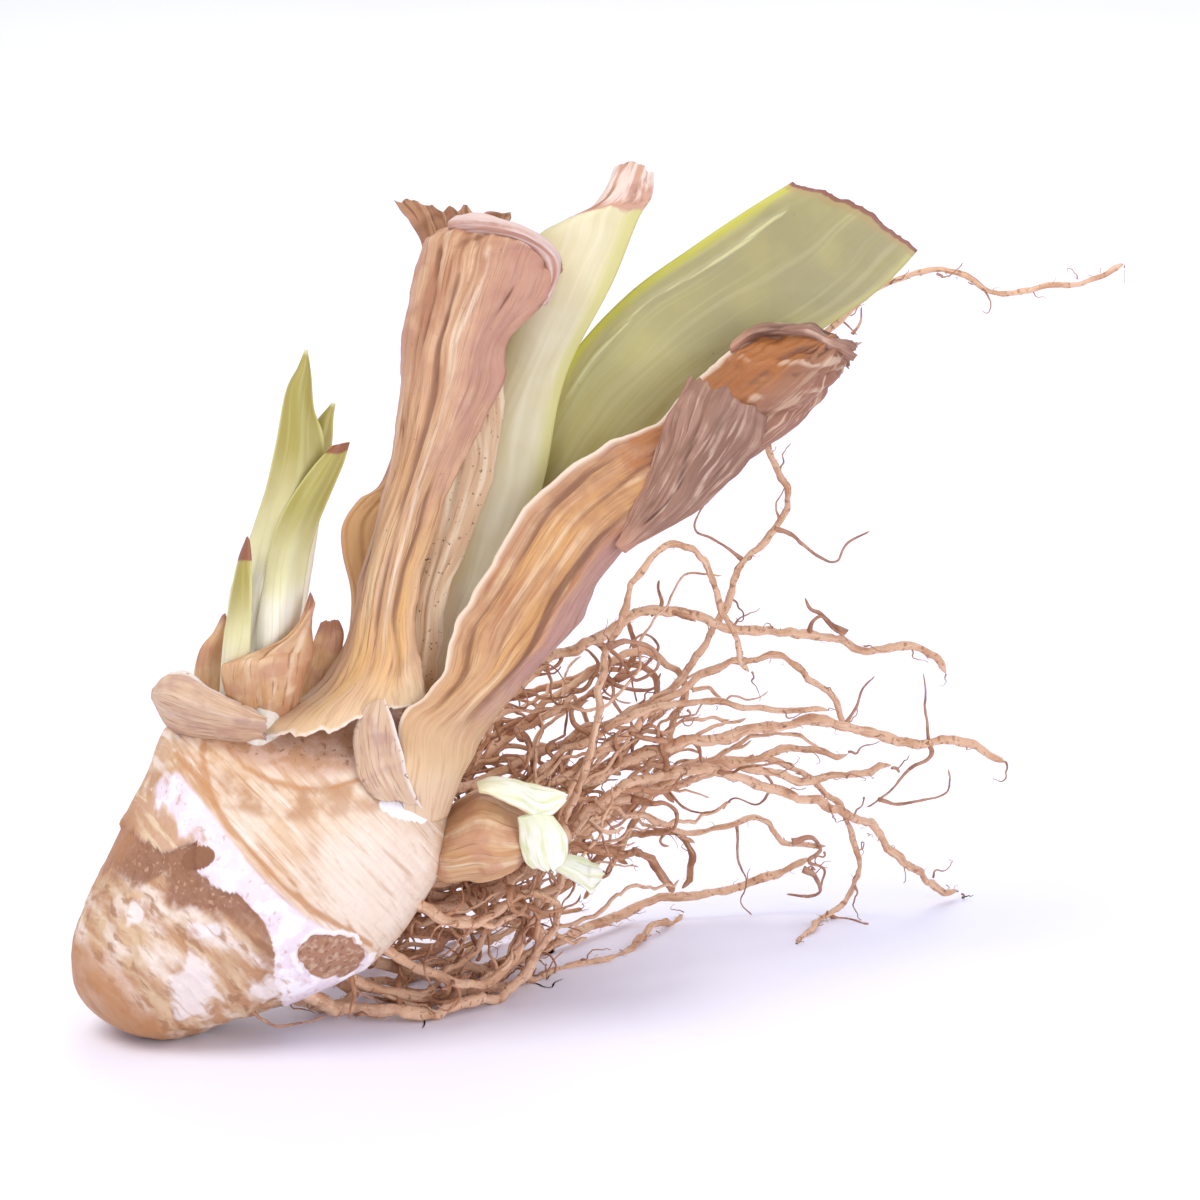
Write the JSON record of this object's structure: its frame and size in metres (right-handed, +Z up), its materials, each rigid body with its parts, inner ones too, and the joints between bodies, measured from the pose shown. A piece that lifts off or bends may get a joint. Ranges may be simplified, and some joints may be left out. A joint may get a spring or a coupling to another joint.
{
  "type": "bearded iris rhizome",
  "caption": "Bare-root bearded iris rhizome with a trimmed fan of dry and green leaves, a side shoot, a second bud and a spray of roots.",
  "frame": {"origin": "centre of the object's bounding box, on the surface that it rests on", "axes": "+Z up, +X from the old end of the rhizome towards the side that the leaves and roots spread to, +Y from the side shown finished in front to the back"},
  "size_m": [0.2041, 0.1092, 0.1646],
  "materials": {
    "rhizome_skin": "matt, smooth skin with rings and a peeled rough patch",
    "dry_leaf": "matt, fibrous and wrinkled",
    "green_leaf": "satin, finely ribbed",
    "fresh_shoot": "satin, smooth",
    "brown_sheath": "matt, papery",
    "pale_bud_leaf": "satin",
    "root_bark": "matt, wrinkled lengthwise"
  },
  "bodies": {
    "root": {"rhizome": "rhizome_skin", "left_dry_leaf": "dry_leaf", "back_dry_leaf": "dry_leaf", "spotted_dry_leaf": "dry_leaf", "right_dry_leaf": "dry_leaf", "torn_sheath": "dry_leaf", "curled_front_sheath": "dry_leaf", "green_middle_leaf": "green_leaf", "green_right_leaf": "green_leaf", "shoot_tall_leaf": "fresh_shoot", "shoot_second_leaf": "fresh_shoot", "shoot_right_leaf": "fresh_shoot", "shoot_left_sheath": "fresh_shoot", "shoot_brown_sheath": "brown_sheath", "shoot_back_sheath_left": "brown_sheath", "shoot_back_sheath_right": "brown_sheath", "bud_sheath": "brown_sheath", "bud_upper_leaf": "pale_bud_leaf", "bud_lower_leaf": "pale_bud_leaf", "bud_curl": "pale_bud_leaf", "root_upper_long": "root_bark", "root_arch": "root_bark", "root_riser": "root_bark", "root_arc": "root_bark", "root_straight": "root_bark", "root_thick_long": "root_bark", "root_cut_upper": "root_bark", "root_cut_lower": "root_bark", "root_long_straight": "root_bark", "root_hanging": "root_bark", "root_floor_long": "root_bark", "root_floor_middle": "root_bark", "root_floor_front": "root_bark", "root_floor_inner": "root_bark", "root_under_left": "root_bark", "root_drop": "root_bark", "root_dark": "root_bark", "root_dark_low": "root_bark", "root_wavy": "root_bark", "root_back_high": "root_bark", "root_back_low": "root_bark", "root_back_floor": "root_bark", "root_mass_upper": "root_bark", "root_mass_middle": "root_bark", "root_mass_lower": "root_bark", "root_bud_front": "root_bark"}
  },
  "joints": []
}
